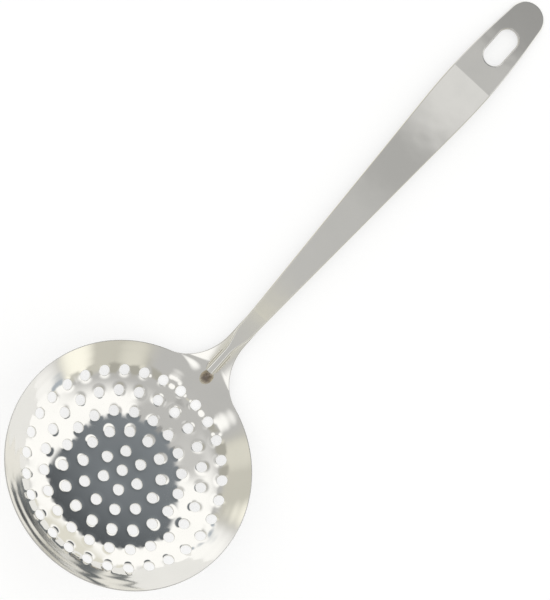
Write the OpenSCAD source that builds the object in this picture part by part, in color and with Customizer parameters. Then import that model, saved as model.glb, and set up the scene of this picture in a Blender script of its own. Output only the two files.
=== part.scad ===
// Kitchen skimmer: a shallow perforated bowl pressed from sheet, with a flat strip handle
// laid on its neck and welded there. It lies as it does on a table, on the underside of the
// bowl and the end of the handle. +X runs from the bowl to the handle's end, +Z is up, and
// the origin is under the middle of the whole length, on the table.
//
// The pieces are drawn in the bowl's own frame, where the rim is level and the middle of the
// bowl's upper face is at zero, and then laid down together by lay().

/* [Bowl] */
// Diameter of the bowl over its rim
bowl_d = 118; // [104:1:150]
// Thickness of the bowl's sheet
sheet_t = 1.2; // [0.8:0.1:1.8]
// Radius of the flat middle of the bowl
base_r = 10; // [6:0.5:14]
// Radius of the lower wall's curve, from the side
wall_r = 100; // [80:1:115]
// Slope of the wall where the lower curve meets the knee
wall_angle = 20.5; // [16:0.1:24]
// Radius of the knee, the tighter curve between the lower wall and the straight one
knee_r = 22; // [16:1:40]
// Slope of the straight wall from the knee to the rim
rim_angle = 39; // [34:0.1:50]

/* [Holes] */
// Diameter of one drain hole
hole_d = 5; // [3:0.1:6.5]
// Distance from one ring of holes to the next, along the sheet
hole_pitch = 9.6; // [8:0.1:9.8]
// Number of rings round the middle hole
hole_rings = 5; // [3:1:5]
// Angle by which the pattern of holes is turned from the handle's line
hole_turn = -1.4; // [-5:0.1:5]

/* [Neck] */
// Radius of the hollow curve from the rim to the neck, from above
neck_fillet = 25; // [16:1:40]
// Width of the neck
neck_w = 9.2; // [7:0.1:12]
// Length of the neck beyond its bend, along its slope
neck_l = 38; // [30:0.5:50]
// Radius of the bend from the wall's slope to the handle's, over the upper face
neck_bend_r = 8; // [4:0.5:12]
// Slope of the neck and handle above the plane of the rim
handle_angle = 25; // [20:0.5:30]

/* [Handle] */
// Length of the handle from the rim to its end, along its slope
handle_l = 241.8; // [215:0.1:280]
// Thickness of the handle's strip
handle_t = 2.2; // [1.6:0.1:3]
// Width of the handle where the tang begins
root_w = 8.6; // [7:0.1:12]
// Angle between each edge and the middle line, from the tang to the widest place
spread_angle = 2.95; // [2.2:0.05:3.6]
// Angle of each edge back towards the middle line, beyond the widest place
close_angle = 5.5; // [4:0.1:7]
// Radius of each edge's curve round the widest place
shoulder_r = 380; // [200:5:450]
// Radius of the handle's round end
tip_r = 9.4; // [8.4:0.1:10.4]
// Length of the end that is bent down a little
end_l = 51.1; // [44:0.1:60]
// Angle of that bend
end_bend = 4.8; // [1:0.1:8]
// Radius of that bend, over the upper face
end_bend_r = 17; // [15:1:60]

/* [Tang] */
// Width of the narrow tang at the handle's root
tang_w = 4.6; // [3:0.1:6]
// Distance from the rim to the tang's end, along the slope
tang_from = 0.6; // [0.3:0.1:1.5]
// Distance from the rim to where the tang starts to widen
tang_to = 14; // [10:0.5:18]
// Distance from the rim to where the tang has widened to the strip
root_from = 28; // [24:0.5:34]
// Thickness left at the tang's end
tang_t = 1; // [0.6:0.1:1.6]
// Distance from the rim to where the tang reaches the strip's full thickness
taper_to = 38; // [28:0.5:50]
// Depth to which the handle's underside is let down over the neck's upper face
seat_depth = 0.2; // [0.15:0.05:0.5]

/* [Hanging slot] */
// Length of the slot
slot_l = 21; // [14:0.5:26]
// Width of the slot
slot_w = 10.4; // [6:0.2:12]
// Distance from the slot's middle to the handle's end
slot_from_tip = 28.4; // [24:0.1:34]

/* [Welds] */
// Radius of the round weld at the tang's end
spot_r = 3; // [2.4:0.1:3.6]
// Height of that weld over the bowl's wall
spot_h = 1.1; // [0.6:0.1:1.6]
// Distance from the rim in to that weld's middle
spot_in = 1.5; // [1:0.1:2.5]
// Width of the weld along each side of the tang
seam_w = 1.4; // [0.8:0.1:2]
// Height of that weld on the tang's side
seam_h = 0.8; // [0.5:0.1:0.9]
// Distance left between one weld and the next
weld_gap = 0.5; // [0.3:0.1:2]

/* [Hidden] */
$fn = 180;
steel = [0.78, 0.78, 0.76];
weld_steel = [0.55, 0.50, 0.45];
// How far two curves that would only touch are made to cross, so that they meet at a point
cross = 0.05;
// Steps in which the polygons below follow each curve
wall_steps = 10;
knee_steps = 8;
bend_steps = 3;
blend_steps = 8;
shoulder_steps = 12;
end_steps = 2;

// Directions for a slope: along it, and square to it on its upper side
function along(a) = [cos(a), sin(a)];
function upward(a) = [-sin(a), cos(a)];

// The bowl's section, from the side: x is the distance from the bowl's axis, y the height of
// the upper face over its flat middle
rim_r = bowl_d / 2;
lower_end = [base_r, wall_r] - wall_r * upward(wall_angle);
knee_centre = lower_end + knee_r * upward(wall_angle);
knee_end = knee_centre - knee_r * upward(rim_angle);
function on_wall(x) = knee_end + (x - knee_end.x) / cos(rim_angle) * along(rim_angle);
rim_edge = on_wall(rim_r);
bend_centre = rim_edge - neck_bend_r * upward(rim_angle);
neck_start = bend_centre + neck_bend_r * upward(handle_angle);

// The line of that section at a depth under the upper face
function section_line(depth) = [
    [0, -depth],
    [base_r, -depth],
    for (i = [1 : wall_steps])
        [base_r, wall_r] - (wall_r + depth) * upward(wall_angle * i / wall_steps),
    for (i = [1 : knee_steps])
        knee_centre - (knee_r + depth) * upward(wall_angle + (rim_angle - wall_angle) * i / knee_steps),
    for (i = [0 : bend_steps])
        bend_centre + (neck_bend_r - depth) * upward(rim_angle + (handle_angle - rim_angle) * i / bend_steps),
    neck_start - depth * upward(handle_angle) + neck_l * along(handle_angle)
];
neck_end = neck_start + neck_l * along(handle_angle);
open_z = neck_end.y + 2 * neck_l;

// Slope and place of the upper face at a distance along the sheet from the middle
knee_from = base_r + wall_r * wall_angle * PI / 180;
knee_to = knee_from + knee_r * (rim_angle - wall_angle) * PI / 180;
function slope_at(s) =
    s <= base_r ? 0
    : s <= knee_from ? (s - base_r) / wall_r * 180 / PI
    : min(rim_angle, wall_angle + (s - knee_from) / knee_r * 180 / PI);
function face_at(s) =
    s <= base_r ? [s, 0]
    : s <= knee_from ? [base_r, wall_r] - wall_r * upward(slope_at(s))
    : s <= knee_to ? knee_centre - knee_r * upward(slope_at(s))
    : knee_end + (s - knee_to) * along(rim_angle);

// The neck's outline, from above
fillet_y = neck_w / 2 + neck_fillet;
fillet_x = sqrt(pow(rim_r + neck_fillet, 2) - pow(fillet_y, 2));
fillet_touch = [fillet_x, fillet_y] * rim_r / (rim_r + neck_fillet);

// The handle's own frame starts over the rim: x runs up its slope, z is square to it, and
// the neck's upper face is at z = 0
handle_zero = neck_start - along(handle_angle) * (neck_start.x - rim_r) / cos(handle_angle);
tip_centre = handle_l - tip_r;
close_point = [tip_centre + (tip_r - cross) * sin(close_angle), (tip_r - cross) * cos(close_angle)];
corner_x = (close_point.y + close_point.x * tan(close_angle) - root_w / 2 + root_from * tan(spread_angle))
    / (tan(spread_angle) + tan(close_angle));
corner_y = root_w / 2 + (corner_x - root_from) * tan(spread_angle);
shoulder_turn = spread_angle + close_angle;
shoulder_start = [corner_x, corner_y] - shoulder_r * tan(shoulder_turn / 2) * along(spread_angle);
shoulder_centre = shoulder_start - shoulder_r * upward(spread_angle);

// Half the handle's outline, from above: the tang, its widening, and the widest place
half_outline = [
    [tang_from, tang_w / 2],
    for (i = [0 : blend_steps])
        let (s = i / blend_steps)
        [tang_to + s * (root_from - tang_to), tang_w / 2 + (root_w - tang_w) / 2 * (3 * s * s - 2 * s * s * s)],
    for (i = [0 : shoulder_steps])
        shoulder_centre + shoulder_r * upward(spread_angle - shoulder_turn * i / shoulder_steps),
    close_point
];

// The handle's section, from the side, at a height over its underside: the bend near its end
// and a place on the straight run beyond it. The section runs on past the outline's end.
end_pivot = [handle_l - end_l, handle_t - seat_depth - end_bend_r];
function end_curve(height, turned) = end_pivot + (end_bend_r - handle_t + height) * upward(-turned);
function end_point(height, x) =
    let (start = end_curve(height, end_bend))
    [x, start.y - (x - start.x) * tan(end_bend)];
function end_line(height) = [
    for (i = [0 : end_steps]) end_curve(height, end_bend * i / end_steps),
    end_point(height, handle_l + handle_t)
];
under_line = end_line(0);
upper_line = end_line(handle_t);

// How it lies: the underside of the bowl's knee and the handle's end both touch the table
function in_bowl_frame(p) = handle_zero + p.x * along(handle_angle) + p.y * upward(handle_angle);
touch = in_bowl_frame(end_point(0, handle_l));
tip_top = in_bowl_frame(end_point(handle_t, handle_l));
reach = touch - knee_centre;
lie_angle = atan2(reach.y, reach.x) + asin((knee_r + sheet_t) / norm(reach));
table_z = knee_centre.y * cos(lie_angle) - knee_centre.x * sin(lie_angle) - knee_r - sheet_t;
function laid_x(p) = p.x * cos(lie_angle) + p.y * sin(lie_angle);
far_x = laid_x([-rim_r, rim_edge.y - sheet_t / cos(rim_angle)]);
near_x = max(laid_x(touch), laid_x(tip_top));

// The round weld is part of a ball whose middle is under the wall
ball_r = (spot_r * spot_r + spot_h * spot_h) / (2 * spot_h);
ball_centre = on_wall(rim_r - spot_in) - (ball_r - spot_h) * upward(rim_angle);
seam_from = spot_r - spot_in + weld_gap;

// Lays the skimmer down from the bowl's own frame
module lay() {
    translate([-(far_x + near_x) / 2, 0, -table_z])
        rotate([0, lie_angle, 0])
            children();
}

// Puts a shape drawn in the handle's own frame on the handle's slope
module on_handle() {
    translate([handle_zero.x, 0, handle_zero.y])
        rotate([0, -handle_angle, 0])
            children();
}

// The outline of the bowl and neck, as the sheet is trimmed from above
module trimmed_outline() {
    difference() {
        union() {
            cylinder(h = open_z, r = rim_r);
            linear_extrude(open_z)
                polygon([
                    [0, 0],
                    fillet_touch,
                    [fillet_x, neck_w / 2],
                    [neck_end.x + neck_w, neck_w / 2],
                    [neck_end.x + neck_w, -neck_w / 2],
                    [fillet_x, -neck_w / 2],
                    [fillet_touch.x, -fillet_touch.y]
                ]);
        }
        for (side = [-1, 1])
            translate([fillet_x, side * fillet_y, -neck_l])
                cylinder(h = open_z + 2 * neck_l, r = neck_fillet + cross);
    }
}

// The pressed sheet before its holes are punched
module formed_sheet() {
    far_side = section_line(sheet_t);
    intersection() {
        rotate_extrude()
            polygon([
                for (p = section_line(0)) p,
                for (i = [len(far_side) - 1 : -1 : 0]) far_side[i]
            ]);
        translate([0, 0, -2 * sheet_t])
            trimmed_outline();
    }
}

// All the space over the sheet's upper face
module over_sheet() {
    rotate_extrude()
        polygon([
            for (p = section_line(0)) p,
            [neck_end.x, open_z],
            [0, open_z]
        ]);
}

// One punched hole, square to the sheet, in the given ring at the given bearing
module drain_hole(ring, bearing) {
    face = face_at(ring * hole_pitch);
    rotate([0, 0, bearing])
        translate([face.x, 0, face.y])
            rotate([0, -slope_at(ring * hole_pitch), 0])
                cylinder(h = 4 * sheet_t, d = hole_d, center = true, $fn = 48);
}

// Rings of six, twelve, eighteen and so on round the middle hole
module drain_holes() {
    drain_hole(0, 0);
    for (ring = [1 : hole_rings])
        for (i = [0 : 6 * ring - 1])
            drain_hole(ring, hole_turn + 30 + 60 * i / ring);
}

module bowl() {
    color(steel)
        lay()
            difference() {
                formed_sheet();
                drain_holes();
            }
}

// The handle's outline, as the strip is trimmed from above
module strip_outline() {
    linear_extrude(2 * end_l)
        polygon([
            for (p = half_outline) p,
            for (i = [len(half_outline) - 1 : -1 : 0]) [half_outline[i].x, -half_outline[i].y]
        ]);
    translate([tip_centre, 0, 0])
        cylinder(h = 2 * end_l, r = tip_r);
}

// The hanging slot's punch
module slot_punch() {
    straight = slot_l - slot_w;
    translate([handle_l - slot_from_tip, 0, 0]) {
        cube([straight, slot_w - 2 * cross, 2 * end_l], center = true);
        for (side = [-1, 1])
            translate([side * straight / 2, 0, 0])
                cylinder(h = 2 * end_l, d = slot_w, center = true);
    }
}

// The handle's section: a tapered tang, a straight run, and an end bent down a little
module strip_section() {
    polygon([
        [tang_from, -seat_depth],
        for (p = under_line) p,
        for (i = [len(upper_line) - 1 : -1 : 0]) upper_line[i],
        [taper_to, handle_t - seat_depth],
        [tang_from, tang_t - seat_depth]
    ]);
}

module strip() {
    intersection() {
        difference() {
            translate([0, 0, -end_l])
                strip_outline();
            slot_punch();
        }
        rotate([90, 0, 0])
            translate([0, 0, -bowl_d / 2])
                linear_extrude(bowl_d)
                    strip_section();
    }
}

module handle() {
    color(steel)
        lay()
            difference() {
                on_handle()
                    strip();
                formed_sheet();
            }
}

// The low round weld that holds the tang's end to the bowl's wall
module tang_end_weld() {
    color(weld_steel)
        lay()
            difference() {
                intersection() {
                    translate([ball_centre.x, 0, ball_centre.y])
                        sphere(ball_r);
                    over_sheet();
                }
                on_handle()
                    strip();
            }
}

// The weld along one side of the tang, ground to a hollow corner
module seam_weld(side) {
    color(weld_steel)
        lay()
            intersection() {
                on_handle()
                    translate([seam_from, side * tang_w / 2, 0])
                        rotate([90, 0, 90])
                            linear_extrude(tang_to - seam_from)
                                polygon([
                                    [0, -seat_depth],
                                    [side * seam_w, -seat_depth],
                                    [side * seam_w, 0],
                                    [0, seam_h]
                                ]);
                over_sheet();
            }
}

module left_seam_weld() {
    seam_weld(1);
}

module right_seam_weld() {
    seam_weld(-1);
}

bowl();
handle();
tang_end_weld();
left_seam_weld();
right_seam_weld();
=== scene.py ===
"""A kitchen skimmer of mirror-polished stainless steel, lying on a white table.

Every length is in metres and every angle in radians. The sheet and the strip are worked out
in the bowl's own frame, where the rim is level and the middle of the bowl's upper face is at
zero, and are then laid down as the solids are.
"""

import bpy
import numpy as np
from mathutils import Matrix


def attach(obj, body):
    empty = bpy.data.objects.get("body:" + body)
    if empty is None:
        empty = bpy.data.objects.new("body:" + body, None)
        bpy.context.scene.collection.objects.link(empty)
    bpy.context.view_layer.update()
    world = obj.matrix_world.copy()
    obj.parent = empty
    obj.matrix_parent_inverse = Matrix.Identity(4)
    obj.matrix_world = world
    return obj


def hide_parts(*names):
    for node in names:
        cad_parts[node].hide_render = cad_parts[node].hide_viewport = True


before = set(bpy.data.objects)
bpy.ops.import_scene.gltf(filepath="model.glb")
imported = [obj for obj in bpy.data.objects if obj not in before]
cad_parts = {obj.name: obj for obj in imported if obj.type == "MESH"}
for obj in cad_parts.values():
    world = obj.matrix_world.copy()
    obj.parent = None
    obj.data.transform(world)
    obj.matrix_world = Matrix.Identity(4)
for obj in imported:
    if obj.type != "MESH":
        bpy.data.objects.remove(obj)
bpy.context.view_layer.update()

MM = 0.001

# The pressed sheet
RIM_R = 59 * MM
SHEET_T = 1.2 * MM
BASE_R = 10 * MM
LOWER_R = 100 * MM
LOWER_SLOPE = np.radians(20.5)
KNEE_R = 22 * MM
WALL_SLOPE = np.radians(39)
WALL_FROM = np.radians(37.5)
CREASE_R = 8 * MM
CREASE_SOFT = 2.0 * MM
CREASE_LEAST = 0.1 * MM
WALL_STEEPEST = np.radians(48)
# Two faint rings that the pressing leaves in the wall
RINGS_FROM = 52 * MM
RINGS_DEEP = 0.012 * MM
NECK_LEAVES = np.radians(20)
HANDLE_SLOPE = np.radians(25)
NECK_FILLET = 25 * MM
NECK_HALF = 4.6 * MM
NECK_L = 38 * MM
SHEET_EDGE_R = 0.45 * MM

# The drain holes, and how far the punch drew the sheet down round them
HOLE_R = 2.5 * MM
PITCH = 9.6 * MM
RINGS = 5
HOLE_TURN = np.radians(-1.4)
HOLE_EDGE_R = 0.3 * MM
BURR_EDGE_R = 0.12 * MM
DRAW_DEPTH = 0.12 * MM
DRAW_WIDTH = 2.2 * MM
DRAW_POWER = 2.4

# The strip handle: distances are from the rim, up its slope
HANDLE_L = 241.8 * MM
STRIP_T = 2.2 * MM
SEAT = 0.2 * MM
TANG_HALF = 2.3 * MM
TANG_FROM = 0.6 * MM
TANG_TO = 14 * MM
ROOT_FROM = 28 * MM
ROOT_HALF = 4.3 * MM
TANG_T = 1 * MM
TAPER_TO = 38 * MM
SPREAD = np.radians(2.95)
CLOSE = np.radians(5.5)
SHOULDER_R = 380 * MM
TIP_R = 9.4 * MM
END_L = 51.1 * MM
END_BEND = np.radians(4.8)
END_BEND_R = 17 * MM
STRIP_EDGE_R = 0.7 * MM
TANG_EDGE_R = 1.3 * MM
# The most of the thickness that the rounding takes, above and under
EDGE_SHARES = (0.62, 0.3)
SLOT_HALF_STRAIGHT = 5.3 * MM
SLOT_R = 5.2 * MM
SLOT_X = HANDLE_L - 28.4 * MM
SLOT_EDGE_R = 0.8 * MM

# The welds
SPOT_IN = 1.3 * MM
SPOT_ASIDE = -0.8 * MM
SPOT_ALONG = 4.0 * MM
SPOT_ACROSS = 3.5 * MM
SPOT_H = 1.15 * MM
SPOT_SUNK = 0.1 * MM
SPOT_RIPPLE = 0.12
# The oxide's tints run out from the bead's middle, with a ragged edge
TINT_FROM = 0.8 * MM
TINT_TO = 4.4 * MM
TINT_RAGGED = 1.6 * MM
SEAM_FROM = 1.8 * MM
SEAM_W = 1.5 * MM
SEAM_IN = 0.45 * MM
SEAM_H = 0.75 * MM
SEAM_PITCH = 1.7 * MM
SEAM_BEAT = 0.05

# Points in one cell of this size are one point, with the cells shifted so that round places lie
# inside them, and slopes are measured over the step
WELD = 1e-6
CELL_SHIFT = 0.317
SMALL_STEP = 0.01 * MM
# Stations of the strip, and half widths of its slot, that are less than this are left out
LEAST = 0.02 * MM


def along(a):
    return np.array([np.cos(a), np.sin(a)])


def upward(a):
    return np.array([-np.sin(a), np.cos(a)])


# The solid's section: a gentle arc, a tighter one at the knee, a straight wall, and the neck's line
lower_end = np.array([BASE_R, LOWER_R]) - LOWER_R * upward(LOWER_SLOPE)
knee_centre = lower_end + KNEE_R * upward(LOWER_SLOPE)
knee_end = knee_centre - KNEE_R * upward(WALL_SLOPE)
rim_edge = knee_end + along(WALL_SLOPE) * (RIM_R - knee_end[0]) / np.cos(WALL_SLOPE)
neck_start = rim_edge - CREASE_R * upward(WALL_SLOPE) + CREASE_R * upward(HANDLE_SLOPE)
handle_zero = neck_start - along(HANDLE_SLOPE) * (neck_start[0] - RIM_R) / np.cos(HANDLE_SLOPE)

# The wall bows out by a few hundredths of a millimetre, as pressed: an arc from the knee to the rim
wall_start = knee_centre - KNEE_R * upward(WALL_FROM)
wall_chord = rim_edge - wall_start
wall_to = 2 * np.arctan2(wall_chord[1], wall_chord[0]) - WALL_FROM
wall_r = wall_chord[0] / (np.sin(wall_to) - np.sin(WALL_FROM))
wall_centre = wall_start + wall_r * upward(WALL_FROM)

# How it lies: the bowl's underside and the handle's end both touch the table
end_start = HANDLE_L - END_L
end_pivot = np.array([end_start, STRIP_T - SEAT - END_BEND_R])
end_low = end_pivot + (END_BEND_R - STRIP_T) * upward(-END_BEND)
end_low = end_low + (HANDLE_L - end_low[0]) / np.cos(END_BEND) * along(-END_BEND)
touch = handle_zero + end_low[0] * along(HANDLE_SLOPE) + end_low[1] * upward(HANDLE_SLOPE)
end_top = end_pivot + END_BEND_R * upward(-END_BEND)
end_top = end_top + (HANDLE_L - end_top[0]) / np.cos(END_BEND) * along(-END_BEND)
tip_corner = handle_zero + end_top[0] * along(HANDLE_SLOPE) + end_top[1] * upward(HANDLE_SLOPE)
reach = touch - knee_centre
lie = np.arctan2(reach[1], reach[0]) + np.arcsin((KNEE_R + SHEET_T) / np.hypot(*reach))
table_z = knee_centre[1] * np.cos(lie) - knee_centre[0] * np.sin(lie) - KNEE_R - SHEET_T
far_corner = np.array([-RIM_R, rim_edge[1] - SHEET_T / np.cos(WALL_SLOPE)])
lay_turn = np.array([[np.cos(lie), 0, np.sin(lie)], [0, 1, 0], [-np.sin(lie), 0, np.cos(lie)]])
lay_shift = np.array([-(far_corner + tip_corner) @ along(lie) / 2, 0, -table_z])


def laid(points):
    """Turns points of the bowl's frame about the cross axis by the lie angle, and sets them down."""
    return points @ lay_turn.T + lay_shift


def from_handle(points):
    """Turns points of the handle's frame up its slope and starts them at the rim, in the bowl's frame."""
    x = handle_zero[0] + points[..., 0] * np.cos(HANDLE_SLOPE) - points[..., 2] * np.sin(HANDLE_SLOPE)
    z = handle_zero[1] + points[..., 0] * np.sin(HANDLE_SLOPE) + points[..., 2] * np.cos(HANDLE_SLOPE)
    return np.stack([x, points[..., 1], z], -1)


def handle_vectors(vectors):
    """Turns directions of the handle's frame up its slope."""
    x = vectors[..., 0] * np.cos(HANDLE_SLOPE) - vectors[..., 2] * np.sin(HANDLE_SLOPE)
    z = vectors[..., 0] * np.sin(HANDLE_SLOPE) + vectors[..., 2] * np.cos(HANDLE_SLOPE)
    return np.stack([x, vectors[..., 1], z], -1)


def sheet_height(x, y, depth):
    """Height of the sheet over a plan place, on the face `depth` under the upper one.

    A flat middle and three arcs, each with its radius grown by the depth, make the dish, and a
    squared sine sinks two faint rings in its wall. The neck is a plane up the handle's slope.
    The lower of dish and neck counts, and where they differ by less than a set amount a
    parabola joins them: it is widest beside the weld and narrows to nothing where the neck's
    outline leaves the rim.
    """
    r = np.hypot(x, y)
    lower, knee, wall = LOWER_R + depth, KNEE_R + depth, wall_r + depth
    ends = [BASE_R, BASE_R + lower * np.sin(LOWER_SLOPE), knee_centre[0] + knee * np.sin(WALL_FROM)]
    slopes = [
        np.zeros_like(r),
        np.arcsin(np.clip((r - BASE_R) / lower, 0, 1)),
        np.arcsin(np.clip((r - knee_centre[0]) / knee, 0, 1)),
    ]
    zone = [np.less(r, end) for end in ends]
    heights = [
        np.full_like(r, -depth),
        LOWER_R - lower * np.cos(slopes[1]),
        knee_centre[1] - knee * np.cos(slopes[2]),
    ]
    steepest = np.sin(WALL_STEEPEST)
    turned = np.arcsin(np.clip((r - wall_centre[0]) / wall, 0, steepest))
    dish = np.select(zone, heights, wall_centre[1] - wall * np.cos(turned))
    dish = dish + np.maximum(r - wall_centre[0] - wall * steepest, 0) * np.tan(WALL_STEEPEST)
    up_wall = np.clip((r - RINGS_FROM) / (RIM_R - RINGS_FROM), 0, 1)
    dish = dish - RINGS_DEEP * np.sin(2 * np.pi * up_wall) ** 2
    neck = neck_start[1] + (r - neck_start[0]) * np.tan(HANDLE_SLOPE) - depth / np.cos(HANDLE_SLOPE)
    aside = np.clip(np.arctan2(np.abs(y), x) / NECK_LEAVES, 0, 1)
    soft = CREASE_SOFT * np.cos(aside * np.pi / 2) ** 2 + CREASE_LEAST
    apart = np.maximum(soft - np.abs(neck - dish), 0)
    return np.minimum(neck, dish) - apart**2 / (4 * soft)


def along_sheet(s):
    """Distance from the axis, height and slope at the distance s along the dish's upper face."""
    ends = np.cumsum([BASE_R, LOWER_R * LOWER_SLOPE, KNEE_R * (WALL_FROM - LOWER_SLOPE)])
    zone = [s < end for end in ends]
    slopes = [np.zeros_like(s), (s - ends[0]) / LOWER_R, LOWER_SLOPE + (s - ends[1]) / KNEE_R]
    slope = np.select(zone, slopes, WALL_FROM + (s - ends[2]) / wall_r)
    sin, cos = np.sin(slope), np.cos(slope)
    places = [s, BASE_R + LOWER_R * sin, knee_centre[0] + KNEE_R * sin]
    heights = [np.zeros_like(s), LOWER_R * (1 - cos), knee_centre[1] - KNEE_R * cos]
    r = np.select(zone, places, wall_centre[0] + wall_r * sin)
    z = np.select(zone, heights, wall_centre[1] - wall_r * cos)
    return r, z, slope


def grid_patch(points, normals, closed=False, kind=0):
    """Two triangles for each square of a grid of points, all wound to face the way their normals do."""
    rows, columns = points.shape[:2]
    i, j = np.meshgrid(np.arange(rows - 1), np.arange(columns if closed else columns - 1), indexing="ij")
    k = (j + 1) % columns
    a, b, c, d = i * columns + j, i * columns + k, (i + 1) * columns + j, (i + 1) * columns + k
    triangles = np.concatenate([
        np.stack([a, b, d], -1).reshape(-1, 3),
        np.stack([a, d, c], -1).reshape(-1, 3),
    ])
    kinds = np.full(len(triangles), kind)
    points, normals = points.reshape(-1, 3), normals.reshape(-1, 3)
    corner = points[triangles]
    facing = np.cross(corner[:, 1] - corner[:, 0], corner[:, 2] - corner[:, 0])
    if np.sum(facing * normals[triangles].sum(1)) < 0:
        triangles = triangles[:, ::-1]
    return points, normals, triangles, kinds


def unit(vectors):
    return vectors / np.maximum(np.linalg.norm(vectors, axis=-1, keepdims=True), 1e-12)


def welded(patches):
    """Joins patches into one surface: points that coincide become one, and empty triangles go."""
    starts = np.cumsum([0] + [len(p[0]) for p in patches[:-1]])
    points = np.concatenate([p[0] for p in patches])
    normals = np.concatenate([p[1] for p in patches])
    triangles = np.concatenate([p[2] + start for p, start in zip(patches, starts)])
    kinds = np.concatenate([p[3] for p in patches])
    cells = np.round(points / WELD + CELL_SHIFT).astype(np.int64)
    _, first, same = np.unique(cells, axis=0, return_index=True, return_inverse=True)
    same = same.reshape(-1)
    summed = np.zeros((len(first), 3))
    np.add.at(summed, same, normals)
    points, normals, triangles = points[first], unit(summed), same[triangles]
    whole = (triangles[:, 0] != triangles[:, 1]) & (triangles[:, 1] != triangles[:, 2])
    whole &= triangles[:, 0] != triangles[:, 2]
    return points, normals, triangles[whole], kinds[whole]


def dish_frame(s, bearing):
    """Point, upward normal, uphill direction and sideways direction of the dish's upper face."""
    r, z, slope = along_sheet(s)
    cos, sin = np.cos(bearing), np.sin(bearing)
    point = np.stack([r * cos, r * sin, z], -1)
    normal = np.stack([-np.sin(slope) * cos, -np.sin(slope) * sin, np.cos(slope)], -1)
    uphill = np.stack([np.cos(slope) * cos, np.cos(slope) * sin, np.sin(slope)], -1)
    sideways = np.stack([-sin, cos, np.zeros_like(sin)], -1)
    return point, normal, uphill, sideways


def drawn_down(rho):
    """Depth and steepness of the upper face round a hole: a power of the share left of the drawn width."""
    share = np.clip(1 - (rho - HOLE_R) / DRAW_WIDTH, 0, 1)
    depth = DRAW_DEPTH * share**DRAW_POWER
    steep = DRAW_DEPTH * DRAW_POWER / DRAW_WIDTH * share ** (DRAW_POWER - 1)
    return depth, steep


def hole_profile():
    """The way round a hole's edge, from the upper face to the underside.

    Rows of distance from the hole's axis, depth and turn of the normal: a quarter circle off
    the drawn face, the sheared wall, and a smaller quarter circle on to the underside.
    """
    start = HOLE_R + HOLE_EDGE_R
    depth, steep = drawn_down(start)
    first = np.arctan(steep)
    turn = np.linspace(first, np.pi / 2, 5)
    rho = HOLE_R + HOLE_EDGE_R * (1 - np.sin(turn))
    down = depth + HOLE_EDGE_R * (np.cos(first) - np.cos(turn))
    turn_under = np.linspace(np.pi / 2, np.pi, 4)
    rho_under = HOLE_R + BURR_EDGE_R * (1 - np.sin(turn_under))
    down_under = SHEET_T - BURR_EDGE_R * (1 + np.cos(turn_under))
    return (
        np.concatenate([rho, rho_under]),
        np.concatenate([down, down_under]),
        np.concatenate([turn, turn_under]),
    )


TOP_ROWS = np.linspace(0, 1, 9)[:-1] ** 0.85
UNDER_ROWS = np.linspace(1, 0, 5)[1:]
SIDE_STEPS = 8
# Steps of the circle inside each ring of cells, and outside it, for one cell
INNER_STEPS = [0, 8, 6, 8, 6, 8]
OUTER_STEPS = [48, 12, 12, 8, 10, 12]


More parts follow.
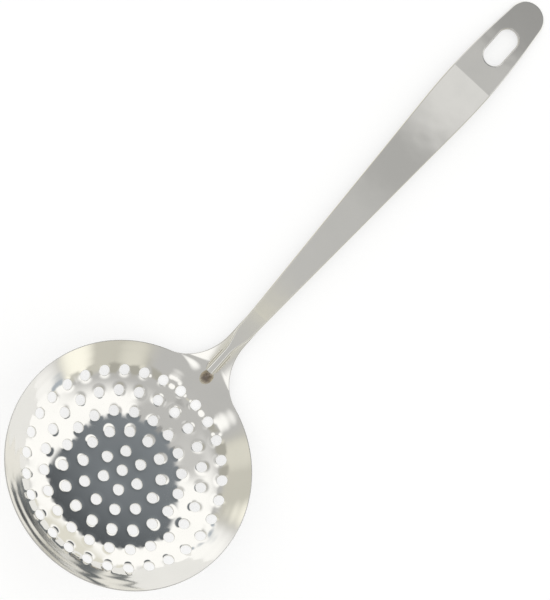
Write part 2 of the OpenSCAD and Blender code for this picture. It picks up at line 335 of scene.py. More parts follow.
def hole_cell(ring, place):
    """The piece of sheet that belongs to one hole, both faces of it, with the hole's edge and wall.

    In (distance along the sheet, bearing) the cell is a rectangle with the hole in its middle.
    Rows run from the rectangle to the hole, over its edge, and back under the sheet.
    """
    s_hole = ring * PITCH
    if ring == 0:
        alpha = np.arange(OUTER_STEPS[0]) * 2 * np.pi / OUTER_STEPS[0]
        s_outside = np.full_like(alpha, PITCH / 2)
        turn_outside = alpha
        bearing = HOLE_TURN
    else:
        half = np.pi / (6 * ring)
        bearing = HOLE_TURN + np.pi / 6 + place * 2 * half
        s_in, s_out = s_hole - PITCH / 2, s_hole + PITCH / 2
        inner = np.linspace(-half, half, INNER_STEPS[ring] + 1)[:-1]
        outer = np.linspace(half, -half, OUTER_STEPS[ring] + 1)[:-1]
        side = np.linspace(s_in, s_out, SIDE_STEPS + 1)
        s_outside = np.concatenate([
            np.full_like(inner, s_in), side[:-1], np.full_like(outer, s_out), side[:0:-1]])
        turn_outside = np.concatenate([
            inner, np.full(SIDE_STEPS, half), outer, np.full(SIDE_STEPS, -half)])
        r_hole = along_sheet(np.array(s_hole))[0]
        alpha = np.arctan2(turn_outside * r_hole, s_outside - s_hole)

    def circle(rho):
        if ring == 0:
            return rho + 0 * alpha, alpha
        s = s_hole + rho * np.cos(alpha)
        return s, rho * np.sin(alpha) / along_sheet(s)[0]

    def face(shares, rho):
        s_edge, turn_edge = circle(rho)
        share = shares[:, None]
        s = s_outside + (s_edge - s_outside) * share
        if ring == 0:
            return s, np.broadcast_to(alpha, (len(shares), len(alpha)))
        return s, turn_outside + (turn_edge - turn_outside) * share

    def around(s, turn):
        if ring == 0:
            return s, np.zeros_like(s)
        across = turn * along_sheet(s)[0]
        return np.hypot(s - s_hole, across), np.arctan2(across, s - s_hole)

    rho_rows, depth_rows, turn_rows = hole_profile()
    s_top, turn_top = face(TOP_ROWS, rho_rows[0])
    rho_top, alpha_top = around(s_top, turn_top)
    depth_top, steep_top = drawn_down(rho_top)
    edge = [circle(rho) for rho in rho_rows]
    s_edge = np.array([e[0] for e in edge])
    turn_edge = np.array([e[1] for e in edge])
    alpha_edge = around(s_edge, turn_edge)[1]
    s_under, turn_under = face(UNDER_ROWS, rho_rows[-1])
    alpha_under = around(s_under, turn_under)[1]
    count = len(alpha)

    s = np.concatenate([s_top, s_edge, s_under])
    turn = np.concatenate([turn_top, turn_edge, turn_under])
    away = np.concatenate([alpha_top, alpha_edge, alpha_under])
    depth_edge = np.repeat(depth_rows[:, None], count, 1)
    lean_edge = np.repeat(turn_rows[:, None], count, 1)
    depth = np.concatenate([depth_top, depth_edge, np.full_like(s_under, SHEET_T)])
    lean = np.concatenate([np.arctan(steep_top), lean_edge, np.full_like(s_under, np.pi)])
    point, normal, uphill, sideways = dish_frame(s, bearing + turn)
    outward = np.cos(away)[..., None] * uphill + np.sin(away)[..., None] * sideways
    points = point - depth[..., None] * normal
    normals = np.cos(lean)[..., None] * normal - np.sin(lean)[..., None] * outward
    return points, normals


def surface_points(x, y, depth):
    """Points and upward normals of the sheet at plan places x and y, on the face at that depth.

    The normal comes from the heights a small step away, each way along x and y.
    """
    step = SMALL_STEP
    z = sheet_height(x, y, depth)
    rise_x = (sheet_height(x + step, y, depth) - sheet_height(x - step, y, depth)) / (2 * step)
    rise_y = (sheet_height(x, y + step, depth) - sheet_height(x, y - step, depth)) / (2 * step)
    return np.stack([x, y, z], -1), unit(np.stack([-rise_x, -rise_y, np.ones_like(z)], -1))


RIM_COLUMNS = 360
NECK_COLUMNS = 20
RIM_ROWS = 33
# The neck's rows stand closer over its first share, where its outline curves most
NECK_NEAR = 0.14
NECK_ROWS = 15


def neck_half_width(x, inset):
    """Half the width of the neck, inset by its edge's rounding.

    A hollow circle runs beside the rim, and the neck is straight past its middle.
    """
    fillet_y = NECK_HALF + NECK_FILLET
    fillet_x = np.sqrt((RIM_R + NECK_FILLET) ** 2 - fillet_y**2)
    run = np.maximum((NECK_FILLET + inset) ** 2 - (np.minimum(x, fillet_x) - fillet_x) ** 2, 0)
    return fillet_y - np.sqrt(run)


def neck_plan(inset):
    """Columns that start on the rim circle and squeeze together up the neck.

    Along a column, y is a fixed share of the neck's half width.
    """
    bearing = np.radians(np.arange(-NECK_COLUMNS, NECK_COLUMNS + 1))
    start_x = (RIM_R - inset) * np.cos(bearing)
    start_y = (RIM_R - inset) * np.sin(bearing)
    share = start_y / neck_half_width(start_x, inset)
    end_x = neck_start[0] + NECK_L * np.cos(HANDLE_SLOPE) - inset
    near = np.linspace(0, NECK_NEAR, NECK_ROWS)
    far = NECK_NEAR + (1 - NECK_NEAR) * np.linspace(0, 1, NECK_ROWS)[1:] ** 1.4
    rows = np.concatenate([near, far])
    x = start_x + (end_x - start_x) * rows[:, None]
    y = share * neck_half_width(x, inset)
    y[0] = start_y
    return x, y


def outline_loop(neck_x, neck_y, inset):
    """The inset outline as one loop: round the rim, up one side of the neck, across its end and back."""
    bearing = 2 * np.pi * np.arange(NECK_COLUMNS, RIM_COLUMNS - NECK_COLUMNS + 1) / RIM_COLUMNS
    rim = (RIM_R - inset) * np.stack([np.cos(bearing), np.sin(bearing)], -1)
    neck = np.stack([neck_x, neck_y], -1)
    return np.concatenate([rim, neck[1:, 0], neck[-1, 1:], neck[-2:0:-1, -1]])


def edge_strip(loop, inset):
    """The rounded edge of the sheet: a quarter circle off the upper face, a wall, and one under."""
    step = np.roll(loop, -1, 0) - np.roll(loop, 1, 0)
    out = unit(np.stack([step[:, 1], -step[:, 0]], -1))
    turns = np.concatenate([np.linspace(0, np.pi / 2, 5), np.linspace(np.pi / 2, np.pi, 5)])
    points, normals = [], []
    for n, turn in enumerate(turns):
        under = n >= 5
        place = loop + out * inset * np.sin(turn)
        point, up = surface_points(place[:, 0], place[:, 1], SHEET_T if under else 0)
        drop = inset * (1 - abs(np.cos(turn)))
        point[:, 2] += drop if under else -drop
        flat_out = np.concatenate([out, np.zeros((len(out), 1))], -1)
        points.append(point)
        normals.append(np.cos(turn) * up + np.sin(turn) * flat_out)
    return np.array(points), unit(np.array(normals))


def bowl_surface():
    """The dish of cells, the plain band up to the rim, the neck, and the rounded edge all round."""
    patches = []
    for ring in range(RINGS + 1):
        for place in range(max(1, 6 * ring)):
            points, normals = hole_cell(ring, place)
            patches.append(grid_patch(points, normals, closed=True))
    s_band = (RINGS + 0.5) * PITCH
    r_band, _, slope_band = along_sheet(np.array(s_band))
    column = 2 * np.pi / RIM_COLUMNS
    # The cells' columns are turned with the holes, and the band turns them back on its way up
    turned = (HOLE_TURN - column * np.round(HOLE_TURN / column)) * np.linspace(1, 0, RIM_ROWS)[:, None]
    bearing = column * np.arange(RIM_COLUMNS) + turned
    neck_x, neck_y = neck_plan(SHEET_EDGE_R)
    for depth in (0, SHEET_T):
        start = r_band + depth * np.sin(slope_band)
        r = np.linspace(start, RIM_R - SHEET_EDGE_R, RIM_ROWS)[:, None]
        points, normals = surface_points(r * np.cos(bearing), r * np.sin(bearing), depth)
        facing = -1 if depth else 1
        patches.append(grid_patch(points, facing * normals, closed=True))
        points, normals = surface_points(neck_x, neck_y, depth)
        patches.append(grid_patch(points, facing * normals))
    points, normals = edge_strip(outline_loop(neck_x, neck_y, SHEET_EDGE_R), SHEET_EDGE_R)
    patches.append(grid_patch(points, normals, closed=True, kind=1))
    return welded(patches)


def strip_corner():
    """Where the two straight edges of the strip would meet at its widest place."""
    tip_x = HANDLE_L - TIP_R
    close_x = tip_x + TIP_R * np.sin(CLOSE)
    close_y = TIP_R * np.cos(CLOSE)
    rise = close_y + close_x * np.tan(CLOSE) - ROOT_HALF + ROOT_FROM * np.tan(SPREAD)
    x = rise / (np.tan(SPREAD) + np.tan(CLOSE))
    return np.array([x, ROOT_HALF + (x - ROOT_FROM) * np.tan(SPREAD)])


shoulder_start = strip_corner() - SHOULDER_R * np.tan((SPREAD + CLOSE) / 2) * along(SPREAD)
shoulder_end = strip_corner() + SHOULDER_R * np.tan((SPREAD + CLOSE) / 2) * along(-CLOSE)
shoulder_centre = shoulder_start - SHOULDER_R * upward(SPREAD)
tip_x = HANDLE_L - TIP_R


def strip_half_width(x, inset):
    """Half the strip's width: tang, smooth widening, straight spread, long curve and round end."""
    s = np.clip((x - TANG_TO) / (ROOT_FROM - TANG_TO), 0, 1)
    widening = TANG_HALF + (ROOT_HALF - TANG_HALF) * (3 * s**2 - 2 * s**3) - inset
    spreading = ROOT_HALF + (x - ROOT_FROM) * np.tan(SPREAD) - inset / np.cos(SPREAD)
    shoulder_run = (SHOULDER_R - inset) ** 2 - (x - shoulder_centre[0]) ** 2
    shoulder = shoulder_centre[1] + np.sqrt(np.maximum(shoulder_run, 0))
    closing = shoulder_end[1] - (x - shoulder_end[0]) * np.tan(CLOSE) - inset / np.cos(CLOSE)
    tip = np.sqrt(np.maximum((TIP_R - inset) ** 2 - (x - tip_x) ** 2, 0))
    ends = [ROOT_FROM, shoulder_start[0], shoulder_end[0], tip_x + (TIP_R - inset) * np.sin(CLOSE)]
    zone = [x < end for end in ends]
    return np.select(zone, [widening, spreading, shoulder, closing], tip)


def slot_half_width(x, grow):
    """Half the width of the slot's outline set out by `grow`: straight sides and round ends."""
    past = np.maximum(np.abs(x - SLOT_X) - SLOT_HALF_STRAIGHT, 0)
    return np.sqrt(np.maximum((SLOT_R + grow) ** 2 - past**2, 0))


def strip_faces(x):
    """Height and slope of the strip's faces: tapered, level, then bent down at the end."""
    taper = np.clip((x - TANG_FROM) / (TAPER_TO - TANG_FROM), 0, 1)
    thick = TANG_T + (STRIP_T - TANG_T) * taper
    taper_slope = np.where(x < TAPER_TO, (STRIP_T - TANG_T) / (TAPER_TO - TANG_FROM), 0)

    def bent(radius, level):
        turn = np.arcsin(np.clip((x - end_start) / radius, 0, np.sin(END_BEND)))
        end = end_pivot + radius * upward(-END_BEND)
        height = np.where(
            x < end_start,
            level,
            np.where(
                x < end[0],
                end_pivot[1] + radius * np.cos(turn),
                end[1] - (x - end[0]) * np.tan(END_BEND),
            ),
        )
        return height, -turn

    upper, upper_slope = bent(END_BEND_R, thick - SEAT)
    under, under_slope = bent(END_BEND_R - STRIP_T, np.full_like(x, -SEAT))
    return upper, np.where(x < end_start, np.arctan(taper_slope), upper_slope), under, under_slope


def strip_stations():
    """Places along the strip, close together at the slot's round ends, the bend and the tip."""
    spread = np.linspace(np.pi / 2, 0, 13)
    ends = (SLOT_R + SLOT_EDGE_R) * np.cos(spread)
    slot = np.concatenate([SLOT_X - SLOT_HALF_STRAIGHT - ends, SLOT_X + SLOT_HALF_STRAIGHT + ends])
    tip = tip_x + (TIP_R - STRIP_EDGE_R) * np.sin(np.linspace(CLOSE, np.pi / 2, 16))
    first = TANG_FROM + STRIP_EDGE_R
    bend = end_start + np.linspace(0, END_BEND_R * np.sin(END_BEND), 7)
    slot_start = SLOT_X - SLOT_HALF_STRAIGHT - SLOT_R - SLOT_EDGE_R
    slot_stop = SLOT_X + SLOT_HALF_STRAIGHT + SLOT_R + SLOT_EDGE_R
    runs = [
        np.linspace(first, ROOT_FROM, 30),
        np.linspace(ROOT_FROM, end_start, 110),
        bend,
        np.linspace(bend[-1], slot_start, 4),
        slot,
        np.linspace(SLOT_X - SLOT_HALF_STRAIGHT, SLOT_X + SLOT_HALF_STRAIGHT, 7),
        np.linspace(slot_stop, tip[0], 8),
        tip,
    ]
    x = np.sort(np.concatenate(runs))
    return x[np.concatenate([[True], np.diff(x) > LEAST])]


STRIP_COLUMNS = 9
EDGE_TURNS = np.concatenate([np.linspace(0, np.pi / 2, 7), np.linspace(np.pi / 2, np.pi, 7)])


def strip_rounding(x):
    """How far in from its outline the strip's edge starts to fall: wide on the tang, then narrow."""
    s = np.clip((x - TANG_TO) / (ROOT_FROM - TANG_TO), 0, 1)
    return TANG_EDGE_R + (STRIP_EDGE_R - TANG_EDGE_R) * (3 * s**2 - 2 * s**3)


def strip_edge(loop, radius):
    """The rounded edge along a loop: part of an ellipse off the upper face, and a like part under.

    The loop runs with the steel on its left, and the edge reaches `radius` out to its right.
    The ellipse is as high as the radius, or a set share of the strip's thickness if that is less.
    """
    step = np.roll(loop, -1, 0) - np.roll(loop, 1, 0)
    out = unit(np.stack([step[:, 1], -step[:, 0], np.zeros(len(loop))], -1))
    upper, _, under, _ = strip_faces(loop[:, 0])
    highs = [np.minimum(radius, share * (upper - under)) for share in EDGE_SHARES]
    points, normals = [], []
    for n, turn in enumerate(EDGE_TURNS):
        place = loop + out[:, :2] * (radius * np.sin(turn))[:, None]
        upper, upper_slope, under, under_slope = strip_faces(place[:, 0])
        above = n < len(EDGE_TURNS) // 2
        high = highs[0] if above else highs[1]
        drop = high * (1 - abs(np.cos(turn)))
        z = upper - drop if above else under + drop
        slope = upper_slope if above else under_slope
        up = np.stack([-np.sin(slope), np.zeros_like(z), np.cos(slope)], -1)
        points.append(np.concatenate([place, z[:, None]], -1))
        normals.append((radius * np.cos(turn))[:, None] * up + (high * np.sin(turn))[:, None] * out)
    return np.array(points), unit(np.array(normals))


def strip_surface():
    """The handle: two half faces that part round the slot, a rounded edge, and the slot's own edge.

    Across each half, columns run from the middle line, or the slot's outline, to the edge.
    """
    x = strip_stations()
    outer = strip_half_width(x, strip_rounding(x))
    outer[-1] = 0
    inner = np.where(
        np.abs(x - SLOT_X) < SLOT_HALF_STRAIGHT + SLOT_R + SLOT_EDGE_R, slot_half_width(x, SLOT_EDGE_R), 0
    )
    inner[inner < LEAST] = 0
    share = np.linspace(0, 1, STRIP_COLUMNS)
    upper, upper_slope, under, under_slope = strip_faces(x)
    patches = []
    for side in (1, -1):
        y = side * (inner[:, None] + (outer - inner)[:, None] * share)
        for height, slope, facing in ((upper, upper_slope, 1), (under, under_slope, -1)):
            across = [np.broadcast_to(value[:, None], y.shape) for value in (x, height)]
            points = np.stack([across[0], y, across[1]], -1)
            normal = np.stack([-np.sin(slope), np.zeros_like(x), np.cos(slope)], -1) * facing
            patches.append(grid_patch(points, np.broadcast_to(normal[:, None], points.shape).copy()))

    start_y = outer[0] * np.concatenate([share[:0:-1], [0], -share[1:]])
    start = np.stack([np.full(len(start_y), x[0]), start_y], -1)
    right = np.stack([x, -outer], -1)
    left = np.stack([x, outer], -1)[::-1]
    loop = np.concatenate([right, left[1:], start[1:-1]])
    radius = strip_rounding(loop[:, 0])
    radius[len(right) + len(left) - 1 :] = STRIP_EDGE_R
    patches.append(grid_patch(*strip_edge(loop, radius), closed=True))

    slotted = np.nonzero(inner > 0)[0]
    row = np.arange(slotted[0] - 1, slotted[-1] + 2)
    left = np.stack([x[row], inner[row]], -1)
    right = np.stack([x[row], -inner[row]], -1)[::-1]
    loop = np.concatenate([left, right[1:-1]])
    patches.append(grid_patch(*strip_edge(loop, np.full(len(loop), SLOT_EDGE_R)), closed=True, kind=1))
    return welded([(from_handle(p), handle_vectors(n), t, k) for p, n, t, k in patches])


def on_sheet(x, y, height):
    """A point at that height over the sheet's upper face, at a place given along and across the handle."""
    point, up = surface_points(handle_zero[0] + x * np.cos(HANDLE_SLOPE), y, 0)
    return point + height[..., None] * up


def facing_outwards(points, triangles):
    """Normals of a closed rounded surface, by adding up those of its triangles."""
    corner = points[triangles]
    facing = np.cross(corner[:, 1] - corner[:, 0], corner[:, 2] - corner[:, 0])
    normals = np.zeros_like(points)
    for n in range(3):
        np.add.at(normals, triangles[:, n], facing)
    return unit(normals)


def tang_end_weld_surface():
    """A smooth mound on the bowl's wall: its height falls as a bell, and it closes inside the sheet.

    Rows are rings from the middle out, then back in underneath; the bell is a power of one
    less the squared share of the way out, with two soft ripples like those of a puddled weld.
    """
    bearing = np.linspace(0, 2 * np.pi, 73)[:-1]
    share = np.concatenate([np.linspace(0, 1, 25), np.linspace(1, 0, 6)[1:]])[:, None]
    above = np.arange(len(share))[:, None] < 25
    ripple = 1 + SPOT_RIPPLE * np.sin(2 * bearing + 4.2 * share) * share * np.sin(np.pi * share)
    bell = SPOT_H * (1 - share**2) ** 1.7 * ripple
    height = np.where(above, bell - SPOT_SUNK, -2 * SPOT_SUNK)
    x = -SPOT_IN + SPOT_ALONG * share * np.cos(bearing)
    y = SPOT_ASIDE + SPOT_ACROSS * share * np.sin(bearing)
    points = on_sheet(x, y, height)
    up = on_sheet(x, y, height + 1) - points
    points, normals, triangles, kinds = grid_patch(points, np.where(above[..., None], up, -up), closed=True)
    points, normals, triangles, kinds = welded([(points, normals, triangles, kinds)])
    return points, facing_outwards(points, triangles), triangles, kinds


def seam_weld_surface(side):
    """The ground weld beside the tang: a hollow corner whose section is a quarter of an ellipse.

    Rows run along the tang, and the section shrinks to nothing over the last stretch at each end.
    """
    run = np.linspace(0, 1, 41)[:, None]
    x = SEAM_FROM + (TANG_TO - SEAM_FROM) * run
    swell = np.sqrt(np.clip(1 - np.abs(2 * run - 1) ** 6, 0, 1))
    turn = np.linspace(0, np.pi / 2, 9)
    across = np.concatenate([1 - np.sin(turn), [-0.3, -0.3, 0.2, 0.8]])
    up = np.concatenate([1 - np.cos(turn), [0.7, -0.3, -0.3, -0.15]])
    beat = 1 + SEAM_BEAT * np.sin(2 * np.pi * (x - SEAM_FROM) / SEAM_PITCH)
    root = side * (TANG_HALF - SEAM_IN)
    y = root + side * SEAM_W * swell * across * beat
    height = SEAM_H * swell * up * beat
    points = on_sheet(np.broadcast_to(x, y.shape), y, height)
    corner = on_sheet(x, np.full_like(x, root), np.zeros_like(x))
    points, normals, triangles, kinds = welded([grid_patch(points, points - corner, closed=True)])
    return points, facing_outwards(points, triangles), triangles, kinds


def piece(name, surface, materials, *nodes):
    """A mesh of its surface's points, triangles and exact normals, that stands for its CAD node."""
    points, normals, triangles, kinds = surface
    mesh = bpy.data.meshes.new(name)
    mesh.from_pydata(laid(points).tolist(), [], triangles.tolist())
    for material in materials:
        mesh.materials.append(material)
    mesh.polygons.foreach_set("material_index", kinds.astype(np.int32))
    mesh.polygons.foreach_set("use_smooth", np.ones(len(triangles), bool))
    mesh.normals_split_custom_set_from_vertices((normals @ lay_turn.T).tolist())
    made = bpy.data.objects.new(name, mesh)
    bpy.context.scene.collection.objects.link(made)
    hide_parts(*nodes)
    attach(made, "root")
    return made


def linear(code):
    """An sRGB hex code as linear red, green, blue and one."""
    share = np.array([int(code[n : n + 2], 16) for n in (1, 3, 5)]) / 255
    value = np.where(share <= 0.04045, share / 12.92, ((share + 0.055) / 1.055) ** 2.4)
    return (*value.tolist(), 1)


def add(tree, kind, inputs=None, **settings):
    """One node, with its settings, and each named input either set or linked from another node's output."""
    made = tree.nodes.new(kind)
    for name, value in settings.items():
        setattr(made, name, value)
    for name, value in (inputs or {}).items():
        if isinstance(value, bpy.types.NodeSocket):
            tree.links.new(value, made.inputs[name])
        else:
            made.inputs[name].default_value = value
    return made


def new_material(name):
    """An empty node tree with its output, and the object's own coordinates."""
    material = bpy.data.materials.new(name)
    material.use_nodes = True
    tree = material.node_tree
    tree.nodes.clear()
    place = add(tree, "ShaderNodeTexCoord").outputs["Object"]
    return material, tree, place


def close(tree, shader):
    add(tree, "ShaderNodeOutputMaterial", {"Surface": shader.outputs[0]})


def per_mm(spacing):
    """A noise scale for a pattern whose lumps are that many millimetres apart, in a space of metres."""
    return 1 / (spacing * MM)


def mirror_polished_stainless():
    """Stainless sheet, pressed and then buffed to a mirror on a soft wheel.

    The wheel leaves a faint haze of hair lines, and the sheet under it keeps the slow waviness
    of rolling and pressing, which bends the mirrored edges a little.
    """
    material, tree, place = new_material("mirror_polished_stainless")
    waves = add(tree, "ShaderNodeTexNoise", {"Vector": place, "Scale": per_mm(9), "Detail": 1.0})
    wave_bump = add(tree, "ShaderNodeBump", {
        "Height": waves.outputs["Fac"], "Strength": 1.0, "Distance": 0.02 * MM})
    lengthways = add(tree, "ShaderNodeMapping", {"Vector": place, "Scale": (0.04, 1, 1)})
    lines = add(tree, "ShaderNodeTexNoise", {
        "Vector": lengthways.outputs[0], "Scale": per_mm(0.5), "Detail": 3.0})
    bump = add(tree, "ShaderNodeBump", {
        "Height": lines.outputs["Fac"], "Strength": 1.0, "Distance": 0.0006 * MM,
        "Normal": wave_bump.outputs[0]})
    haze = add(tree, "ShaderNodeTexNoise", {"Vector": place, "Scale": per_mm(14), "Detail": 4.0})
    roughness = add(tree, "ShaderNodeMapRange", {
        "Value": haze.outputs["Fac"], "From Min": 0.3, "From Max": 0.7, "To Min": 0.035, "To Max": 0.075})
    tone = add(tree, "ShaderNodeMix", {
        "Factor": haze.outputs["Fac"], "A": linear("#EAE8E3"), "B": linear("#E2E1DC")}, data_type="RGBA")
    close(tree, add(tree, "ShaderNodeBsdfPrincipled", {
        "Base Color": tone.outputs["Result"], "Metallic": 1.0, "Roughness": roughness.outputs[0],
        "Normal": bump.outputs[0]}))
    return material


def sheared_stainless():
    """The edge that a punch or shear leaves: the same steel, tumbled to a satin, with fine marks."""
    material, tree, place = new_material("sheared_stainless")
    marks = add(tree, "ShaderNodeTexNoise", {"Vector": place, "Scale": per_mm(0.3), "Detail": 2.0})
    bump = add(tree, "ShaderNodeBump", {
        "Height": marks.outputs["Fac"], "Strength": 0.6, "Distance": 0.01 * MM})
    roughness = add(tree, "ShaderNodeMapRange", {
        "Value": marks.outputs["Fac"], "To Min": 0.12, "To Max": 0.3})
    close(tree, add(tree, "ShaderNodeBsdfPrincipled", {
        "Base Color": linear("#D2D0CC"), "Metallic": 1.0, "Roughness": roughness.outputs[0],
        "Normal": bump.outputs[0]}))
    return material


def heat_tinted_weld():
    """A spot weld left as it cooled: brown oxide over the puddled bead, paler straw at its foot."""
    material, tree, place = new_material("heat_tinted_weld")
    middle = laid(on_sheet(np.array([-SPOT_IN]), np.array([SPOT_ASIDE]), np.zeros(1)))[0]
    out = add(tree, "ShaderNodeVectorMath", {0: place, 1: middle.tolist()}, operation="DISTANCE")
    grain = add(tree, "ShaderNodeTexNoise", {"Vector": place, "Scale": per_mm(0.9), "Detail": 4.0})
    reach = add(tree, "ShaderNodeMath", {
        0: grain.outputs["Fac"], 1: TINT_RAGGED, 2: out.outputs["Value"]}, operation="MULTIPLY_ADD")
    share = add(tree, "ShaderNodeMapRange", {
        "Value": reach.outputs[0], "From Min": TINT_FROM, "From Max": TINT_TO})
    tint = add(tree, "ShaderNodeValToRGB", {"Fac": share.outputs[0]})
    ramp = tint.color_ramp
    ramp.elements[0].color = linear("#8C827A")
    ramp.elements[1].color = linear("#E2DCCB")
    ramp.elements.new(0.45).color = linear("#857A70")
    ramp.elements.new(0.75).color = linear("#B9AE9E")
    bump = add(tree, "ShaderNodeBump", {
        "Height": grain.outputs["Fac"], "Strength": 0.8, "Distance": 0.12 * MM})
    close(tree, add(tree, "ShaderNodeBsdfPrincipled", {
        "Base Color": tint.outputs["Color"], "Metallic": 1.0, "Roughness": 0.2,
        "Normal": bump.outputs[0]}))
    return material


def ground_weld():
    """A seam that was ground back with a narrow belt: satin, a shade darker than the sheet."""
    material, tree, place = new_material("ground_weld")
    marks = add(tree, "ShaderNodeTexNoise", {"Vector": place, "Scale": per_mm(0.6), "Detail": 3.0})
    bump = add(tree, "ShaderNodeBump", {
        "Height": marks.outputs["Fac"], "Strength": 0.5, "Distance": 0.015 * MM})
    tone = add(tree, "ShaderNodeMix", {
        "Factor": marks.outputs["Fac"], "A": linear("#EAE7DF"), "B": linear("#DAD6CD")}, data_type="RGBA")
    close(tree, add(tree, "ShaderNodeBsdfPrincipled", {
        "Base Color": tone.outputs["Result"], "Metallic": 1.0, "Roughness": 0.12,
        "Normal": bump.outputs[0]}))
    return material


steel = mirror_polished_stainless()
edge_steel = sheared_stainless()
weld = heat_tinted_weld()
seam = ground_weld()
piece("skimmer_bowl", bowl_surface(), [steel, edge_steel], "bowl")
piece("strip_handle", strip_surface(), [steel, edge_steel], "handle")
piece("tang_end_bead", tang_end_weld_surface(), [weld], "tang_end_weld")
piece("left_seam_bead", seam_weld_surface(1), [seam], "left_seam_weld")
piece("right_seam_bead", seam_weld_surface(-1), [seam], "right_seam_weld")


# The table top
FLOOR_SIZE = 8
FLOOR_GREY = 0.44
FLOOR_GLOW = 0.7


def table_top():
    """A white matt table.

    Part of its white is shaded, so that it keeps the soft shadow, and the rest lights nothing.
    """
    half = FLOOR_SIZE / 2
    mesh = bpy.data.meshes.new("table_top")
    corners = [(-half, -half, 0), (half, -half, 0), (half, half, 0), (-half, half, 0)]
    mesh.from_pydata(corners, [], [(0, 1, 2, 3)])
    made = bpy.data.objects.new("table_top", mesh)
    bpy.context.scene.collection.objects.link(made)
    material, tree, _ = new_material("white_matt_board")
    light_path = add(tree, "ShaderNodeLightPath").outputs
    seen = add(tree, "ShaderNodeMath", {
        0: light_path["Is Camera Ray"], 1: light_path["Is Glossy Ray"]}, operation="MAXIMUM")
    seen = add(tree, "ShaderNodeMath", {
        0: seen.outputs[0], 1: light_path["Is Transmission Ray"]}, operation="MAXIMUM")
    first = add(tree, "ShaderNodeMath", {0: light_path["Diffuse Depth"], 1: 0.5}, operation="LESS_THAN")
    seen = add(tree, "ShaderNodeMath", {0: seen.outputs[0], 1: first.outputs[0]}, operation="MULTIPLY")
    glow = add(tree, "ShaderNodeMath", {0: seen.outputs[0], 1: FLOOR_GLOW}, operation="MULTIPLY")
    board = add(tree, "ShaderNodeBsdfDiffuse", {"Color": (FLOOR_GREY,) * 3 + (1,)})
    white = add(tree, "ShaderNodeEmission", {"Color": (1, 1, 1, 1), "Strength": glow.outputs[0]})
    close(tree, add(tree, "ShaderNodeAddShader", {0: board.outputs[0], 1: white.outputs[0]}))
    mesh.materials.append(material)


table_top()


def direction(zenith, azimuth):
    """A unit vector, from degrees off straight up, and degrees from the handle's way towards its left."""
    z, a = np.radians(zenith), np.radians(azimuth)
    return np.array([np.sin(z) * np.cos(a), np.sin(z) * np.sin(a), np.cos(z)])


# Brightness, where 1 is white, and tint of what stands round the table
LIT, PALE, GREY, DIM, DARK = 1.25, 0.85, 0.62, 0.5, 0.4
WHITE, CREAM, COOL = "#FFFFFF", "#FFFDF2", "#EAF4FF"

# The studio round the table. Each panel is a soft round patch, laid over the ones
# before it: degrees off straight up, azimuth, half size, softness, brightness and tint
LIT_FRONT_AND_SIDES = [
    (52, 0, 36, 5, LIT, WHITE),
    (75, 45, 20, 6, LIT, WHITE),
    (75, -50, 20, 6, LIT, WHITE),
    (100, 0, 22, 3, 0.9, CREAM),
    (60, 95, 25, 8, 0.7, CREAM),
    (60, -95, 25, 8, 0.7, CREAM),
]
GAPS_BETWEEN = [
    (75, 57, 5, 3, GREY, COOL),
    (75, -67, 5, 3, GREY, COOL),
    (30, 85, 14, 4, DIM, CREAM),
    (35, -90, 16, 4, DIM, CREAM),
]
SMALL_LAMPS = [
    (45, 105, 6, 5, PALE, CREAM),
    (45, -105, 6, 5, PALE, CREAM),
    (30, 130, 4, 3, LIT, WHITE),
    (25, -140, 4, 3, LIT, WHITE),
    (75, 82, 6, 6, LIT, CREAM),
    (72, -82, 6, 6, LIT, CREAM),
]
OVER_THE_HANDLE = [
    (22, -4, 13, 3, GREY, WHITE),
    (28, 25, 7, 4, 0.7, WHITE),
    (12, -85, 6, 1.5, LIT, WHITE),
    (8, 85, 7, 1.5, LIT, WHITE),
    (4, -60, 2, 1.5, 0.75, CREAM),
    (12, -16, 1.5, 1, DIM, WHITE),
    (16, -12, 2.5, 1.5, PALE, WHITE),
    (30, -6, 3.5, 0.5, DARK, WHITE),
]
PANELS = LIT_FRONT_AND_SIDES + GAPS_BETWEEN + SMALL_LAMPS + OVER_THE_HANDLE
# The room behind them, by the height of the way: 0 is the horizon, 1 is straight up
WALL_BRIGHT = [(0, 0.95), (0.45, 0.62), (0.9, 0.6), (1, 0.62)]
WALL_TINT = WHITE
# The dark opening in the lit front, of three round patches
OPENING = [(55, 2, 18, 1.5), (60, -6, 16, 1.5), (46, -4, 16, 1.5)]
# Its brightness, and the degrees off straight up between which it falls from pale to dark
OPENING_NEAR, OPENING_FAR = 0.34, 0.13
OPENING_PALEST, OPENING_DARKEST = 28, 72
OPENING_TINT = COOL


def lit(tint, bright):
    """A tint's linear colour at a brightness."""
    return (*(bright * value for value in linear(tint)[:3]), 1)


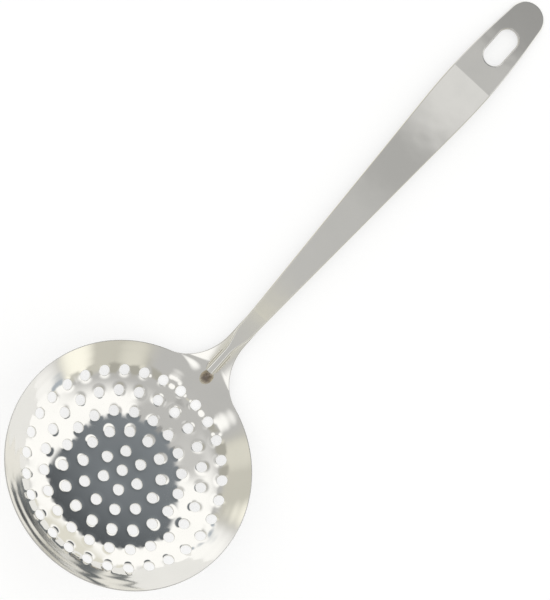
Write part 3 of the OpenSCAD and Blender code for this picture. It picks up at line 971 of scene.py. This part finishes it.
def studio():
    """The world: a grey that pales towards the horizon, then its panels, then the dark opening."""
    world = bpy.data.worlds.new("studio")
    world.use_nodes = True
    tree = world.node_tree
    tree.nodes.clear()
    way = add(tree, "ShaderNodeTexCoord").outputs["Generated"]
    height = add(tree, "ShaderNodeSeparateXYZ", {"Vector": way}).outputs["Z"]
    walls = add(tree, "ShaderNodeValToRGB", {"Fac": height})
    ramp = walls.color_ramp
    ramp.elements[0].color = lit(WALL_TINT, WALL_BRIGHT[0][1])
    ramp.elements[1].color = lit(WALL_TINT, WALL_BRIGHT[-1][1])
    for at, value in WALL_BRIGHT[1:-1]:
        ramp.elements.new(at).color = lit(WALL_TINT, value)
    colour = walls.outputs["Color"]

    def covered(zenith, azimuth, half, soft):
        """How far a way lies inside a round patch, with a soft rim."""
        dot = add(tree, "ShaderNodeVectorMath", {
            0: way, 1: direction(zenith, azimuth).tolist()}, operation="DOT_PRODUCT")
        return add(tree, "ShaderNodeMapRange", {
            "Value": dot.outputs["Value"],
            "From Min": float(np.cos(np.radians(half + soft))),
            "From Max": float(np.cos(np.radians(half - soft)))}, interpolation_type="SMOOTHSTEP").outputs[0]

    for zenith, azimuth, half, soft, bright, tint in PANELS:
        colour = add(tree, "ShaderNodeMix", {
            "Factor": covered(zenith, azimuth, half, soft), "A": colour, "B": lit(tint, bright)},
            data_type="RGBA").outputs["Result"]
    depth = add(tree, "ShaderNodeMapRange", {
        "Value": height,
        "From Min": float(np.cos(np.radians(OPENING_DARKEST))),
        "From Max": float(np.cos(np.radians(OPENING_PALEST))),
        "To Min": OPENING_FAR, "To Max": OPENING_NEAR})
    dim = add(tree, "ShaderNodeMix", {
        "Factor": depth.outputs[0], "A": (0, 0, 0, 1), "B": linear(OPENING_TINT)}, data_type="RGBA")
    for patch in OPENING:
        colour = add(tree, "ShaderNodeMix", {
            "Factor": covered(*patch), "A": colour, "B": dim.outputs["Result"]},
            data_type="RGBA").outputs["Result"]
    camera = add(tree, "ShaderNodeLightPath").outputs["Is Camera Ray"]
    colour = add(tree, "ShaderNodeMix", {
        "Factor": camera, "A": colour, "B": (1, 1, 1, 1)}, data_type="RGBA").outputs["Result"]
    background = add(tree, "ShaderNodeBackground", {"Color": colour, "Strength": 1.0})
    add(tree, "ShaderNodeOutputWorld", {"Surface": background.outputs[0]})
    bpy.context.scene.world = world


studio()
bpy.context.scene.view_settings.view_transform = "Standard"


# The camera, found from the holes: its place and its ways in the bowl's own frame
CAMERA_PLACE = np.array([-258.2, 42.4, 678.4]) * MM
CAMERA_RIGHT = np.array([0.5651, -0.7391, 0.3666])
CAMERA_UP = np.array([0.6647, 0.6711, 0.3284])
FOCAL_PIXELS = 1537.2
IMAGE_HEIGHT = 600
SENSOR = 36


def photograph_camera():
    """The camera at the photograph's viewing angle."""
    data = bpy.data.cameras.new("camera")
    data.sensor_width = SENSOR
    data.lens = FOCAL_PIXELS / IMAGE_HEIGHT * SENSOR
    made = bpy.data.objects.new("camera", data)
    bpy.context.scene.collection.objects.link(made)
    right = unit(lay_turn @ CAMERA_RIGHT)
    up = lay_turn @ CAMERA_UP
    back = unit(np.cross(right, up))
    up = np.cross(back, right)
    place = laid(CAMERA_PLACE)
    turn = np.stack([right, up, back], 1).tolist()
    rows = [[*row, shift] for row, shift in zip(turn, place)]
    made.matrix_world = Matrix(rows + [[0, 0, 0, 1]])
    bpy.context.scene.camera = made


photograph_camera()
